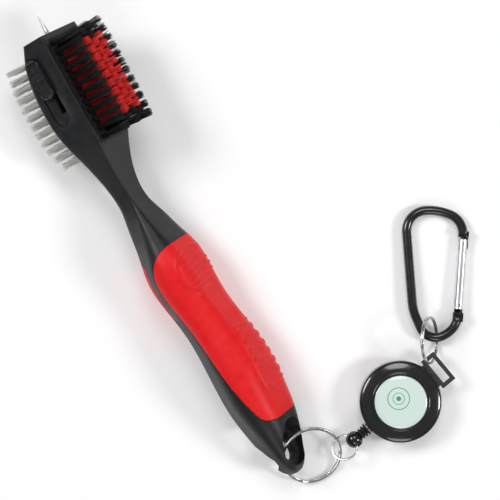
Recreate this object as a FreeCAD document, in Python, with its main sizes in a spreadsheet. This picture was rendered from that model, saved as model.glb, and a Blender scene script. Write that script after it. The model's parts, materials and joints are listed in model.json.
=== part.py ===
"""Club groove brush with a retractable groove spike, a cord reel and a carabiner clip.

Every piece is a node of its own. The brush is drawn in its own frame: +Y runs from the
tail to the nose, +X is the way the nylon bristles point, +Z is the thumb slider's side.
The reel, the rings and the carabiner have frames of their own, and the whole chain is
then laid out on the table. Sizes are millimetres and degrees.
"""
import FreeCAD, Part
import math
import os
import Sketcher
from FreeCAD import Placement, Rotation, Vector

doc = FreeCAD.newDocument("groove_brush")

SIZES = {
    # handle
    "grip_length": 114.2,
    "neck_length": 31.1,
    "head_length": 49.0,
    "head_half_width": 12.0,
    "skin": 1.6,
    # bristle blocks and tufts
    "nylon_block_length": 43.6,
    "nylon_block_depth": 4.0,
    "nose_wall": 2.6,
    "block_rim": 1.5,
    "block_corner": 1.2,
    "nylon_reach": 14.5,
    "nylon_tuft_radius": 1.1,
    "nylon_pitch": 3.62,
    "nylon_row_pitch": 4.0,
    "steel_block_length": 44.7,
    "steel_block_half_width": 8.8,
    "steel_block_seat": 3.0,
    "steel_block_from_nose": 4.4,
    "steel_reach": 10.5,
    "steel_tuft_radius": 0.9,
    "steel_pitch": 3.7,
    "steel_row_pitch": 3.6,
    "belly_radius": 63.0,
    "belly_depth": 9.45,
    "nylon_hole_depth": 2.8,
    "steel_hole_roof": 0.9,
    "anchor_height": 0.9,
    "anchor_length": 1.3,
    "anchor_strip": 0.35,
    # spike and its slider
    "spike_radius": 1.05,
    "spike_axis": 3.3,
    "spike_out": 8.0,
    "spike_cone": 7.0,
    "spike_travel": 11.7,
    "carrier_length": 17.0,
    "carrier_half_width": 3.2,
    "carrier_floor": 2.1,
    "slide_gap": 0.1,
    "channel_from_nose": 5.2,
    "slider_axis": 1.5,
    "slider_length": 16.5,
    "slider_width": 6.9,
    "slider_proud": 0.8,
    "slider_end_gap": 0.35,
    "recess_depth": 1.6,
    "recess_width": 7.7,
    "recess_from_nose": 5.4,
    "stem_length": 6.0,
    "stem_width": 2.0,
    "stem_axis": 0.1,
    "stem_from_front": 5.85,
    "spike_socket": 10.0,
    "rib_depth": 0.4,
    "rib_width": 0.7,
    # soft grips
    "saddle_rear": 23.0,
    "saddle_rear_height": 12.2,
    "saddle_turn": 80.0,
    "saddle_low": -0.3,
    "saddle_from_grip_end": 12.0,
    "saddle_front_round": 14.0,
    "saddle_belly_round": 60.0,
    "saddle_rear_round": 6.0,
    "finger_rear": 66.0,
    "finger_front": 99.0,
    "finger_top": -4.8,
    # tail
    "dish_length": 18.4,
    "dish_half_width": 7.2,
    "dish_from_tail": 2.4,
    "web_top": 7.3,
    "web_bottom": 4.3,
    "hang_hole_length": 13.0,
    "hang_hole_width": 8.0,
    # how the brush lies: rolled on to a flank, with the head propped up by its bristles
    "lie_roll": 35.0,
    "lie_pitch": 3.86,
    # cord reel
    "reel_radius": 16.0,
    "reel_height": 10.6,
    "reel_wall": 1.5,
    "reel_plate": 1.2,
    "reel_parting": 4.6,
    "reel_bevel": 0.6,
    "face_bevel": 1.7,
    "bezel_width": 0.9,
    "label_radius": 10.2,
    "label_thickness": 0.5,
    "label_border": 0.1,
    "post_radius": 1.6,
    "post_gap": 0.06,
    "spool_clearance": 0.4,
    "spool_hub_radius": 7.0,
    "spool_flange": 0.8,
    "winding_radius": 11.6,
    "spring_turns": 5.0,
    "spring_strip": 0.25,
    "spring_height": 4.2,
    "cord_radius": 0.5,
    "cord_gap": 0.15,
    "cord_height": 5.2,
    "port_radius": 1.8,
    "bush_radius": 2.7,
    "bush_flange": 0.5,
    "ball_radius": 3.35,
    "ball_bore_radius": 2.1,
    "bore_gap": 0.2,
    "relief_length": 3.9,
    "relief_gap": 0.15,
    "relief_core": 1.6,
    "relief_flange": 2.5,
    "relief_pitch": 1.3,
    "relief_rib": 0.85,
    # strap loop
    "loop_length": 13.5,
    "loop_depth": 6.3,
    "loop_bar": 1.6,
    "loop_thickness": 1.4,
    "loop_height": 6.8,
    "loop_gap": 0.05,
    "loop_corner": 0.4,
    # rings
    "large_ring_radius": 11.55,
    "small_ring_radius": 4.85,
    "clip_ring_radius": 9.0,
    "large_wire": 0.8,
    "small_wire": 0.55,
    "clip_wire": 1.6,
    "clip_band": 1.0,
    "clip_rounding": 0.3,
    # carabiner
    "wire_radius": 1.85,
    "gate_radius": 1.8,
    "gate_bore_radius": 1.15,
    "gate_length": 27.3,
    "gate_foot": 1.4,
    "gate_slot": 1.6,
    "gate_slot_length": 4.2,
    "gate_gap": 1.0,
    "hinge_face": 2.8,
    "hinge_block": 3.6,
    "block_half_width": 2.0,
    "nose_block": 2.3,
    "pin_radius": 0.6,
    "latch_radius": 0.5,
    "latch_from_end": 1.6,
    "latch_gap": 0.3,
    "tongue_gap": 0.08,
    "hook_wall": 1.2,
    "pin_gap": 0.05,
    "spring_from_pin": 3.2,
    "gate_spring_length": 7.0,
    "toe_y": -8.7,
    "heel_x": -10.9,
    "heel_y": -16.2,
    "back_x": -17.7,
    "back_y": -3.1,
    "far_x": -23.5,
    "far_rise": 8.5,
    "crown_x": -10.8,
    "crown_rise": 9.8,
    "brow_x": -1.4,
    "brow_rise": 7.3,
    "toe_radius": 9.0,
    "heel_radius": 6.5,
    "crown_radius": 8.0,
    "sweep_radius": 20.0,
    # where the chain lies
    "ring_lean": 26.0,
    "ring_offset_x": 8.1,
    "ring_offset_y": 9.1,
    "link_lean": 25.0,
    "link_offset_x": 12.8,
    "link_offset_y": 3.8,
    "reel_turn": 10.9,
    "clip_heading": 61.1,
    "clip_lean": 23.0,
    "clip_from_slot_end": 1.2,
    "clip_bar_shift": 0.9,
    "clip_bar_gap": 0.8,
    "carabiner_turn": 33.1,
}

sheet = doc.addObject("Spreadsheet::Sheet", "sizes")


def add_cell(alias, value):
    """Writes one driving dimension in the next free row of the sheet."""
    cell = f"A{len(cells) + 1}"
    sheet.set(cell, str(value))
    sheet.setAlias(cell, alias)
    cells[alias] = cell


cells = {}
for alias, value in SIZES.items():
    add_cell(alias, value)

# Sections of the handle, tail to nose. Each has its share of the way along its stretch,
# the top and the bottom (X), the half width (Z), the flank's lean and two corner radii.
STATIONS = {
    "tail_tip": ("grip", 0.0, 7.6, 3.8, 2.3, 8, 1.2, 1.2),
    "tail_end": ("grip", 0.024, 9.7, 1.6, 5.3, 12, 2.6, 2.2),
    "tail": ("grip", 0.106, 12.8, -1.4, 9.0, 20, 5.0, 3.8),
    "tail_root": ("grip", 0.187, 15.3, -3.3, 11.5, 28, 7.2, 4.6),
    "palm_rear": ("grip", 0.268, 16.4, -4.9, 13.2, 34, 8.6, 5.4),
    "palm": ("grip", 0.38, 17.3, -5.0, 13.9, 35, 9.2, 5.8),
    "waist": ("grip", 0.59, 14.6, -5.7, 12.2, 34, 8.4, 5.4),
    "thumb_rear": ("grip", 0.69, 12.8, -7.6, 12.7, 34, 8.4, 5.4),
    "thumb": ("grip", 0.79, 12.6, -8.9, 13.5, 35, 8.8, 5.6),
    "thumb_front": ("grip", 0.86, 11.5, -8.3, 12.4, 34, 7.4, 5.2),
    "collar": ("grip", 0.92, 9.1, -7.3, 10.2, 28, 5.2, 4.4),
    "grip_front": ("grip", 1.0, 6.2, -6.0, 7.5, 16, 2.6, 3.4),
    "throat": ("neck", 0.2, 4.2, -5.1, 5.7, 8, 1.2, 2.8),
    "neck": ("neck", 0.45, 3.5, -5.3, 5.5, 6, 0.7, 2.4),
    "neck_front": ("neck", 0.74, 4.6, -6.0, 7.0, 4, 0.6, 2.0),
    "shoulder": ("neck", 1.0, 6.6, -6.4, 9.6, 2, 0.6, 1.8),
    "head_rear": ("head", 0.1, 8.2, -7.0, 11.0, 1.5, 0.6, 1.6),
    "head_back": ("head", 0.23, 8.8, -8.2, 11.8, 1, 0.6, 1.5),
    "head_mid": ("head", 0.45, 8.8, -9.2, 12.0, 1, 0.6, 1.5),
    "head_front": ("head", 0.7, 8.8, -8.0, 12.0, 1, 0.6, 1.5),
    "brow": ("head", 0.86, 8.8, -5.6, 12.0, 1, 0.6, 1.5),
    "nose": ("head", 1.0, 8.8, -1.7, 12.0, 1, 0.6, 1.5),
}
STATION_SIZES = ("at", "top", "bottom", "half", "flank", "crest", "keel")
STRETCH_START = {
    "grip": "0",
    "neck": "sizes.grip_length",
    "head": "sizes.grip_length + sizes.neck_length",
}
for station, (stretch, *values) in STATIONS.items():
    for part_name, value in zip(STATION_SIZES, values):
        add_cell(f"{station}_{part_name}", value)

doc.recompute()


def size(alias):
    """A driving dimension's value, read back from the sheet."""
    return float(sheet.get(alias))


# ---------------------------------------------------------------- helpers

def new_body(name):
    body = doc.addObject("PartDesign::Body", name)
    body.AllowCompound = True
    return body


def new_sketch(body, name, role, offset="0"):
    """A sketch on one of the body's origin planes, moved along the plane's normal."""
    sketch = body.newObject("Sketcher::SketchObject", name)
    plane = next(p for p in body.Origin.OriginFeatures if p.Role == role)
    sketch.AttachmentSupport = [(plane, "")]
    sketch.MapMode = "FlatFace"
    sketch.setExpression(".AttachmentOffset.Base.z", offset)
    return sketch


def bind(sketch, index, name, expression):
    """Names a constraint and ties it to the sheet."""
    sketch.renameConstraint(index, name)
    sketch.setExpression(f"Constraints.{name}", expression)


def pin_point(sketch, edge, end, tag, spot):
    """Ties one end of an edge to two distances from the sketch's origin."""
    for axis, kind, expression in zip("xy", ("DistanceX", "DistanceY"), spot):
        value = float(sketch.evalExpression(expression))
        index = sketch.addConstraint(
            Sketcher.Constraint(kind, -1, 1, edge, end, value))
        bind(sketch, index, f"{tag}_{axis}", expression)


def draw_outline(sketch, corners, radii=None, tag="corner"):
    """A closed outline through bound corners; each radius rounds its corner."""
    spots = [
        Vector(*(float(sketch.evalExpression(e)) for e in corner), 0)
        for corner in corners
    ]
    first = sketch.GeometryCount
    count = len(spots)
    for i, spot in enumerate(spots):
        sketch.addGeometry(Part.LineSegment(spot, spots[(i + 1) % count]))
    for i in range(count):
        sketch.addConstraint(
            Sketcher.Constraint("Coincident", first + i, 2, first + (i + 1) % count, 1))
    for i, corner in enumerate(corners):
        pin_point(sketch, first + i, 1, f"{tag}{i}", corner)
    for i, radius in enumerate(radii or ()):
        if radius is None:
            continue
        value = float(sketch.evalExpression(radius))
        arc = sketch.GeometryCount
        sketch.fillet(first + i, 1, value, True, True)
        index = sketch.addConstraint(Sketcher.Constraint("Radius", arc, value))
        bind(sketch, index, f"{tag}{i}_radius", radius)


def draw_circle(sketch, spot, radius, tag="circle"):
    """A circle whose centre and radius are bound to the sheet."""
    centre = Vector(*(float(sketch.evalExpression(e)) for e in spot), 0)
    value = float(sketch.evalExpression(radius))
    edge = sketch.addGeometry(Part.Circle(centre, Vector(0, 0, 1), value))
    pin_point(sketch, edge, 3, tag, spot)
    index = sketch.addConstraint(Sketcher.Constraint("Radius", edge, value))
    bind(sketch, index, f"{tag}_radius", radius)


def rectangle(left, right, low, high):
    return [(left, low), (right, low), (right, high), (left, high)]


def extrude(body, kind, sketch, length, reverse=False, middle=False):
    """A Pad or Pocket of the sketch, with its length bound to the sheet."""
    feature = body.newObject(kind, f"{sketch.Name}_{kind.split('::')[1].lower()}")
    feature.Profile = sketch
    feature.Midplane = middle
    feature.Reversed = reverse
    feature.setExpression("Length", length)
    return feature


def pad(body, sketch, length, **options):
    return extrude(body, "PartDesign::Pad", sketch, length, **options)


def cut_down(body, name, role, start, depth, draw, reverse=False):
    """A Pocket from a plane at `start`, checked to take material away."""
    doc.recompute()
    before = body.Shape.Volume
    sketch = new_sketch(body, name, role, start)
    draw(sketch)
    feature = extrude(body, "PartDesign::Pocket", sketch, depth, reverse=reverse)
    doc.recompute()
    if body.Shape.Volume > before - 0.001:
        raise RuntimeError(f"{name} cuts nothing")
    return feature


def revolve(body, sketch, axis="V_Axis", kind="PartDesign::Revolution"):
    feature = body.newObject(kind, f"{sketch.Name}_turned")
    feature.Profile = sketch
    feature.ReferenceAxis = (sketch, [axis])
    feature.Angle = 360
    return feature


def boolean(kind, name, base, tool):
    result = doc.addObject(f"Part::{kind}", name)
    result.Base = base
    result.Tool = tool
    return result


# ---------------------------------------------------------------- handle form

def station_corners(station, inset):
    """The four corners, before rounding, of one handle section drawn inwards by inset."""
    top = f"sizes.{station}_top - {inset}"
    bottom = f"sizes.{station}_bottom + {inset}"
    crest = rounding(station, "crest", inset)
    flank = f"(sizes.{station}_flank * 1 deg)"
    shoulder = f"sizes.{station}_half - {inset} - {crest}"
    top_half = f"({shoulder} + {crest} * (1 + sin{flank}) / cos{flank})"
    drop = f"({bottom} - ({top}) + {crest})"
    bottom_half = f"({shoulder} + ({crest} + sin{flank} * {drop}) / cos{flank})"
    return [
        (top, f"-{top_half}"),
        (top, top_half),
        (bottom, bottom_half),
        (bottom, f"-{bottom_half}"),
    ]


def rounding(station, kind, inset):
    return f"max(sizes.{station}_{kind} - {inset}; 0.5)"


def handle_loft(body, inset="0", stations=tuple(STATIONS)):
    """The handle's outer form, or the core that lies under a skin of thickness inset."""
    sections = []
    for station in stations:
        stretch = STATIONS[station][0]
        along = f"{STRETCH_START[stretch]} + sizes.{stretch}_length * sizes.{station}_at"
        sketch = new_sketch(body, f"{body.Name}_{station}", "XZ_Plane", f"-({along})")
        crest = rounding(station, "crest", inset)
        keel = rounding(station, "keel", inset)
        draw_outline(
            sketch, station_corners(station, inset), [crest, crest, keel, keel])
        sections.append(sketch)
    doc.recompute()
    loft = body.newObject("PartDesign::AdditiveLoft", f"{body.Name}_form")
    loft.Profile = sections[0]
    loft.Sections = sections[1:]
    loft.Ruled = False
    doc.recompute()


NOSE = "(sizes.grip_length + sizes.neck_length + sizes.head_length)"
HEAD_TOP = "sizes.head_mid_top"
NYLON_FRONT = f"({NOSE} - sizes.nose_wall)"
NYLON_REAR = f"({NYLON_FRONT} - sizes.nylon_block_length)"
NYLON_HALF = "(sizes.head_half_width - sizes.block_rim)"
NYLON_FLOOR = f"({HEAD_TOP} - sizes.nylon_block_depth)"
STEEL_FRONT = f"({NOSE} - sizes.steel_block_from_nose)"
STEEL_REAR = f"({STEEL_FRONT} - sizes.steel_block_length)"
STEEL_MIDDLE = f"({STEEL_FRONT} - sizes.steel_block_length / 2)"
STEEL_HALF = "sizes.steel_block_half_width"
CHANNEL_FRONT = f"({NOSE} - sizes.channel_from_nose)"
CHANNEL_REAR = (
    f"({CHANNEL_FRONT} - sizes.carrier_length - sizes.spike_travel"
    " - 2 * sizes.slide_gap)")
RECESS_FRONT = f"({NOSE} - sizes.recess_from_nose)"
SLIDER_FRONT = f"({RECESS_FRONT} - sizes.slider_end_gap)"
SLIDER_REAR = f"({SLIDER_FRONT} - sizes.slider_length)"
RECESS_REAR = f"({SLIDER_REAR} - sizes.spike_travel - sizes.slider_end_gap)"
RECESS_FLOOR = "(sizes.head_half_width - sizes.recess_depth)"
STEM_FRONT = f"({SLIDER_FRONT} - sizes.stem_from_front)"
STEM_REAR = f"({STEM_FRONT} - sizes.stem_length)"
DISH_MIDDLE = "(sizes.dish_from_tail + sizes.dish_length / 2)"


def span(middle, half):
    """The two ends of a stretch that is centred on middle."""
    return f"{middle} - {half}", f"{middle} + {half}"


def draw_rounded(sketch, left, right, low, high, radius):
    draw_outline(sketch, rectangle(left, right, low, high), [radius] * 4)


def draw_nylon_seat(sketch, gap="0"):
    """The nylon block's outline, seen along the bristles."""
    low, high = span("0", f"({NYLON_HALF} - {gap})")
    rear, front = f"{NYLON_REAR} + {gap}", f"{NYLON_FRONT} - {gap}"
    draw_rounded(sketch, rear, front, low, high, "sizes.block_corner")


def draw_steel_seat(sketch, gap="0"):
    """The steel block's outline, seen along the bristles."""
    low, high = span("0", f"({STEEL_HALF} - {gap})")
    rear, front = f"{STEEL_REAR} + {gap}", f"{STEEL_FRONT} - {gap}"
    draw_rounded(sketch, rear, front, low, high, "sizes.block_corner")


def draw_channel(sketch):
    low, high = span("0", "(sizes.carrier_half_width + sizes.slide_gap)")
    draw_outline(sketch, rectangle(CHANNEL_REAR, CHANNEL_FRONT, low, high))


def draw_spike_bore(sketch):
    draw_circle(sketch, ("sizes.spike_axis", "0"), "sizes.spike_radius + sizes.slide_gap")


def draw_recess(sketch):
    left, right = span("-sizes.slider_axis", "sizes.recess_width / 2")
    radius = "sizes.recess_width / 2 - 0.1"
    draw_rounded(sketch, left, right, RECESS_REAR, RECESS_FRONT, radius)


def draw_stem_slot(sketch):
    """The slot that the slider's stem runs along, open over the whole travel."""
    half = "(sizes.stem_width / 2 + sizes.slide_gap)"
    left, right = span("-sizes.stem_axis", half)
    rear = f"{STEM_REAR} - sizes.spike_travel - sizes.slide_gap"
    front = f"{STEM_FRONT} + sizes.slide_gap"
    draw_outline(sketch, rectangle(left, right, rear, front))


def draw_dish(sketch):
    low, high = span("0", "sizes.dish_half_width")
    rear, front = span(DISH_MIDDLE, "sizes.dish_length / 2")
    draw_rounded(sketch, rear, front, low, high, "sizes.dish_half_width - 0.2")


def draw_hang_hole(sketch):
    low, high = span("0", "sizes.hang_hole_width / 2")
    rear, front = span(DISH_MIDDLE, "sizes.hang_hole_length / 2")
    draw_rounded(sketch, rear, front, low, high, "sizes.hang_hole_width / 2 - 0.1")


# Cuts start this far outside the handle, so that they always open its surface.
CLEAR = "8"

handle_body = new_body("handle_body")
handle_loft(handle_body)
cut_down(handle_body, "nylon_seat", "YZ_Plane", f"{HEAD_TOP} + {CLEAR}",
         f"sizes.nylon_block_depth + {CLEAR}", draw_nylon_seat)
cut_down(handle_body, "steel_seat", "YZ_Plane", f"-sizes.belly_depth - {CLEAR}",
         f"sizes.belly_depth + {CLEAR} - sizes.steel_block_seat", draw_steel_seat,
         reverse=True)
cut_down(handle_body, "carrier_channel", "YZ_Plane", NYLON_FLOOR,
         f"{NYLON_FLOOR} + sizes.carrier_floor + sizes.slide_gap", draw_channel)
cut_down(handle_body, "spike_bore", "XZ_Plane", f"-({NOSE} + {CLEAR})",
         f"{CLEAR} + sizes.channel_from_nose + 0.5", draw_spike_bore, reverse=True)
cut_down(handle_body, "slider_recess", "XY_Plane", f"sizes.head_half_width + {CLEAR}",
         f"sizes.recess_depth + {CLEAR}", draw_recess)
cut_down(handle_body, "stem_slot", "XY_Plane", RECESS_FLOOR,
         f"{RECESS_FLOOR} - sizes.carrier_half_width", draw_stem_slot)
cut_down(handle_body, "dish_over", "YZ_Plane", f"sizes.palm_top + {CLEAR}",
         f"sizes.palm_top + {CLEAR} - sizes.web_top", draw_dish)
cut_down(handle_body, "dish_under", "YZ_Plane", f"sizes.tail_bottom - {CLEAR}",
         f"sizes.web_bottom - sizes.tail_bottom + {CLEAR}", draw_dish, reverse=True)
cut_down(handle_body, "hang_hole", "YZ_Plane", f"sizes.web_top + {CLEAR}",
         f"sizes.web_top - sizes.web_bottom + 2 * {CLEAR}", draw_hang_hole)


# ---------------------------------------------------------------- soft grips

def draw_saddle(sketch):
    """Side view of the upper grip's zone: a saddle that drops over both flanks."""
    front = "sizes.grip_length - sizes.saddle_from_grip_end"
    draw_outline(
        sketch,
        [
            ("sizes.palm_top + 8", "sizes.saddle_rear"),
            ("sizes.palm_top + 8", front),
            ("sizes.saddle_low", front),
            ("sizes.saddle_low", "sizes.saddle_turn"),
            ("sizes.saddle_rear_height", "sizes.saddle_rear"),
        ],
        [None, None, "sizes.saddle_front_round", "sizes.saddle_belly_round",
         "sizes.saddle_rear_round"])


def draw_finger_pad(sketch):
    """Side view of the lower grip's zone, under the fingers."""
    draw_outline(
        sketch,
        [
            ("sizes.thumb_bottom - 8", "sizes.finger_rear"),
            ("sizes.finger_top", "sizes.finger_rear"),
            ("sizes.finger_top", "sizes.finger_front"),
            ("sizes.thumb_bottom - 8", "sizes.finger_front"),
        ],
        [None, "2.5", "2.5", None])


UNDER_GRIPS = (
    "tail", "tail_root", "palm_rear", "palm", "waist", "thumb_rear", "thumb",
    "thumb_front", "collar", "grip_front")


def grip_zone(name, draw):
    """The zone of one grip, less the core, so that only the skin there is left."""
    zone = new_body(f"{name}_zone")
    sketch = new_sketch(zone, f"{name}_outline", "XY_Plane")
    draw(sketch)
    pad(zone, sketch, "4 * sizes.palm_half", middle=True)
    return boolean("Cut", f"{name}_blank", zone, core_body)


core_body = new_body("core_body")
handle_loft(core_body, "sizes.skin", UNDER_GRIPS)
skin_body = new_body("skin_body")
handle_loft(skin_body)
saddle_blank = grip_zone("saddle", draw_saddle)
finger_blank = grip_zone("finger", draw_finger_pad)
grip_top = boolean("Common", "grip_top", skin_body, saddle_blank)
grip_bottom = boolean("Common", "grip_bottom", skin_body, finger_blank)
handle_less_saddle = boolean("Cut", "handle_less_saddle", handle_body, saddle_blank)
handle_frame = boolean("Cut", "handle_frame", handle_less_saddle, finger_blank)


# ---------------------------------------------------------------- bristle blocks

NYLON_MIDDLE = f"({NYLON_FRONT} - sizes.nylon_block_length / 2)"
NYLON_ROOT = f"({HEAD_TOP} - sizes.nylon_hole_depth)"
STEEL_ROOT = "(sizes.steel_block_seat + sizes.steel_hole_roof)"
STEEL_COLUMNS = 12
STEEL_INNER_ROWS = (-1, 0, 1, 2)
STEEL_FLOOR_ROW = -2

# Runs of tufts: the row across, the first tuft's step from the middle, and how many.
# Three rows of twelve, with two staggered rows of eleven between them.
BLACK_RUNS = (
    (-2, -5.5, 12), (2, -5.5, 12), (0, -5.5, 2), (0, 4.5, 2),
    (-1, -5, 1), (-1, 5, 1), (1, -5, 1), (1, 5, 1))
RED_RUNS = ((0, -3.5, 8), (-1, -4, 9), (1, -4, 9))
STEEL_RUNS = tuple((row, -5.5, STEEL_COLUMNS) for row in range(-2, 3))


def repeat_run(body, kind, sketch, length, pitch, count, reverse=False):
    """One feature, repeated along the brush."""
    feature = extrude(body, kind, sketch, length, reverse=reverse)
    if count == 1:
        return
    pattern = body.newObject("PartDesign::LinearPattern", f"{sketch.Name}_run")
    pattern.Originals = [feature]
    along = next(p for p in body.Origin.OriginFeatures if p.Role == "Y_Axis")
    pattern.Direction = (along, [""])
    pattern.setExpression("Length", f"{count - 1} * sizes.{pitch}")
    pattern.Occurrences = count
    body.Tip = pattern


def tuft_runs(body, kind, runs, middle, prefix, plane, length, reverse=False):
    """Pads or pockets one round tuft for each run and repeats it."""
    for i, (row, first, count) in enumerate(runs):
        sketch = new_sketch(body, f"{body.Name}_{kind[12:]}{i}", "YZ_Plane", plane)
        spot = (f"{middle} + {first} * sizes.{prefix}_pitch",
                f"{row} * sizes.{prefix}_row_pitch")
        draw_circle(sketch, spot, f"sizes.{prefix}_tuft_radius")
        repeat_run(body, kind, sketch, length, f"{prefix}_pitch", count, reverse)


def nylon_block():
    block = new_body("nylon_block")
    plate = new_sketch(block, "nylon_plate", "YZ_Plane", NYLON_FLOOR)
    draw_nylon_seat(plate)
    pad(block, plate, "sizes.nylon_block_depth")
    tuft_runs(block, "PartDesign::Pocket", BLACK_RUNS + RED_RUNS, NYLON_MIDDLE, "nylon",
              HEAD_TOP, "sizes.nylon_hole_depth")
    return block


def nylon_tufts(name, runs):
    tufts = new_body(name)
    tuft_runs(tufts, "PartDesign::Pad", runs, NYLON_MIDDLE, "nylon",
              f"{NYLON_ROOT} + sizes.anchor_height",
              "sizes.nylon_reach + sizes.nylon_hole_depth - sizes.anchor_height")
    return tufts


def steel_block():
    """The crowned insert: its face follows the arc of the handle's belly."""
    block = new_body("steel_block")
    plate = new_sketch(block, "steel_plate", "YZ_Plane", "-sizes.steel_block_seat")
    draw_steel_seat(plate)
    pad(block, plate, "sizes.belly_depth", reverse=True)
    sketch = new_sketch(block, "belly_arc", "XY_Plane")
    centre = ("sizes.belly_radius - sizes.belly_depth", STEEL_MIDDLE)
    draw_circle(sketch, centre, "sizes.belly_radius", "belly")
    draw_circle(sketch, centre, "2 * sizes.belly_radius", "outside")
    extrude(block, "PartDesign::Pocket", sketch, "4 * sizes.head_half_width", middle=True)
    tuft_runs(block, "PartDesign::Pocket", STEEL_RUNS, STEEL_MIDDLE, "steel",
              f"-sizes.belly_depth - {CLEAR}",
              f"sizes.belly_depth + {CLEAR} - {STEEL_ROOT}", reverse=True)
    return block


def belly(step):
    """Depth of the steel block's crowned face at one column."""
    return (
        "(sizes.belly_depth - sizes.belly_radius + sqrt(sizes.belly_radius ^ 2"
        f" - ({step} * sizes.steel_pitch) ^ 2))")


def steel_tufts(name, rows):
    """Tufts whose tips follow the crown, one pad for each column."""
    tufts = new_body(name)
    start = f"({STEEL_ROOT} + sizes.anchor_height)"
    for column in range(STEEL_COLUMNS):
        step = column - (STEEL_COLUMNS - 1) / 2
        sketch = new_sketch(tufts, f"{name}_{column}", "YZ_Plane", f"-{start}")
        for row in rows:
            spot = (f"{STEEL_MIDDLE} + {step} * sizes.steel_pitch",
                    f"{row} * sizes.steel_row_pitch")
            draw_circle(sketch, spot, "sizes.steel_tuft_radius", f"tuft{row + 2}")
        pad(tufts, sketch, f"{belly(step)} + sizes.steel_reach - {start}", reverse=True)
    return tufts


def anchors(name, runs, middle, prefix, root, reverse=False):
    """The flat wire staples at the bottom of the tuft holes."""
    body = new_body(name)
    for i, (row, first, count) in enumerate(runs):
        sketch = new_sketch(body, f"{name}_{i}", "YZ_Plane", root)
        along = f"({middle} + {first} * sizes.{prefix}_pitch)"
        rear, front = span(along, "sizes.anchor_strip / 2")
        low, high = span(f"({row} * sizes.{prefix}_row_pitch)", "sizes.anchor_length / 2")
        draw_outline(sketch, rectangle(rear, front, low, high))
        repeat_run(body, "PartDesign::Pad", sketch, "sizes.anchor_height",
                   f"{prefix}_pitch", count, reverse)
    return body


# ---------------------------------------------------------------- spike and slider

CARRIER_FRONT = f"({CHANNEL_FRONT} - sizes.slide_gap)"
CARRIER_REAR = f"({CARRIER_FRONT} - sizes.carrier_length)"
SLIDER_FOOT = f"({RECESS_FLOOR} + sizes.slide_gap)"
SLIDER_TOP = "(sizes.head_half_width + sizes.slider_proud)"


def draw_slider(sketch):
    left, right = span("-sizes.slider_axis", "sizes.slider_width / 2")
    radius = "sizes.slider_width / 2 - 0.1"
    draw_rounded(sketch, left, right, SLIDER_REAR, SLIDER_FRONT, radius)


def draw_stem(sketch):
    left, right = span("-sizes.stem_axis", "sizes.stem_width / 2")
    draw_outline(sketch, rectangle(left, right, STEM_REAR, STEM_FRONT))


def draw_thumb_panels(sketch):
    """Four shallow panels with three ribs left standing between them."""
    panel = "((sizes.slider_length - 3 * sizes.rib_width) / 4 - 0.6)"
    left, right = span("-sizes.slider_axis", "(sizes.slider_width / 2 - 1)")
    for i in range(4):
        rear = f"{SLIDER_REAR} + 1.2 + {i} * ({panel} + sizes.rib_width)"
        draw_outline(sketch, rectangle(left, right, rear, f"{rear} + {panel}"),
                     tag=f"panel{i}_")


def slider_button():
    """The thumb button and the stem that reaches in to the carrier."""
    button = new_body("slider_button")
    cap = new_sketch(button, "slider_cap", "XY_Plane", SLIDER_FOOT)
    draw_slider(cap)
    pad(button, cap, f"{SLIDER_TOP} - {SLIDER_FOOT}")
    stem = new_sketch(button, "slider_stem", "XY_Plane", "sizes.carrier_half_width")
    draw_stem(stem)
    pad(button, stem, f"{SLIDER_FOOT} - sizes.carrier_half_width")
    cut_down(button, "thumb_panels", "XY_Plane", SLIDER_TOP, "sizes.rib_depth",
             draw_thumb_panels)
    return button


def draw_spike_socket(sketch):
    draw_circle(sketch, ("sizes.spike_axis", "0"), "sizes.spike_radius")


def spike_carrier():
    carrier = new_body("spike_carrier")
    sketch = new_sketch(carrier, "carrier_side", "XY_Plane")
    draw_outline(sketch, rectangle(
        "-sizes.carrier_floor", f"{NYLON_FLOOR} - sizes.slide_gap",
        CARRIER_REAR, CARRIER_FRONT))
    pad(carrier, sketch, "2 * sizes.carrier_half_width", middle=True)
    cut_down(carrier, "spike_socket", "XZ_Plane", f"-{CARRIER_FRONT}",
             "sizes.spike_socket", draw_spike_socket, reverse=True)
    return carrier


def groove_spike():
    """A hardened pin, turned about its own axis, with a long cone at its point."""
    spike = new_body("groove_spike")
    sketch = new_sketch(spike, "spike_profile", "XY_Plane")
    tip = f"{NOSE} + sizes.spike_out"
    edge = "sizes.spike_axis + sizes.spike_radius"
    draw_outline(sketch, [
        ("sizes.spike_axis", f"{CARRIER_FRONT} - sizes.spike_socket"),
        (edge, f"{CARRIER_FRONT} - sizes.spike_socket"),
        (edge, f"{tip} - sizes.spike_cone"),
        ("sizes.spike_axis + 0.12", tip),
        ("sizes.spike_axis", tip),
    ])
    feature = spike.newObject("PartDesign::Revolution", "spike_turned")
    feature.Profile = sketch
    feature.ReferenceAxis = (sketch, ["Edge5"])
    return spike


# ---------------------------------------------------------------- cord reel

def turned(name, *profiles):
    """A body turned about Z from outlines of radius and height."""
    body = new_body(name)
    for i, corners in enumerate(profiles):
        sketch = new_sketch(body, f"{name}_profile{i}", "XZ_Plane")
        draw_outline(sketch, corners)
        revolve(body, sketch)
    doc.recompute()
    return body


def ring_profile(inner, outer, low, high):
    return rectangle(inner, outer, low, high)


REEL_INNER = "(sizes.reel_radius - sizes.reel_wall)"
FACE_FLOOR = "(sizes.reel_height - sizes.label_thickness)"
CEILING = f"({FACE_FLOOR} - sizes.reel_plate)"
SPOOL_LOW = "(sizes.reel_plate + sizes.spool_clearance)"
SPOOL_HIGH = f"({CEILING} - sizes.spool_clearance)"
SPOOL_BORE = "(sizes.post_radius + sizes.post_gap)"
SPOOL_EDGE = f"({REEL_INNER} - sizes.spool_clearance)"
HUB_INNER = "(sizes.spool_hub_radius - sizes.spool_flange)"


def draw_cord_port(sketch):
    """The hole in the rim that the cord's bush sits in, seen along X."""
    draw_circle(sketch, ("0", "sizes.cord_height"), "sizes.port_radius")


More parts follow.
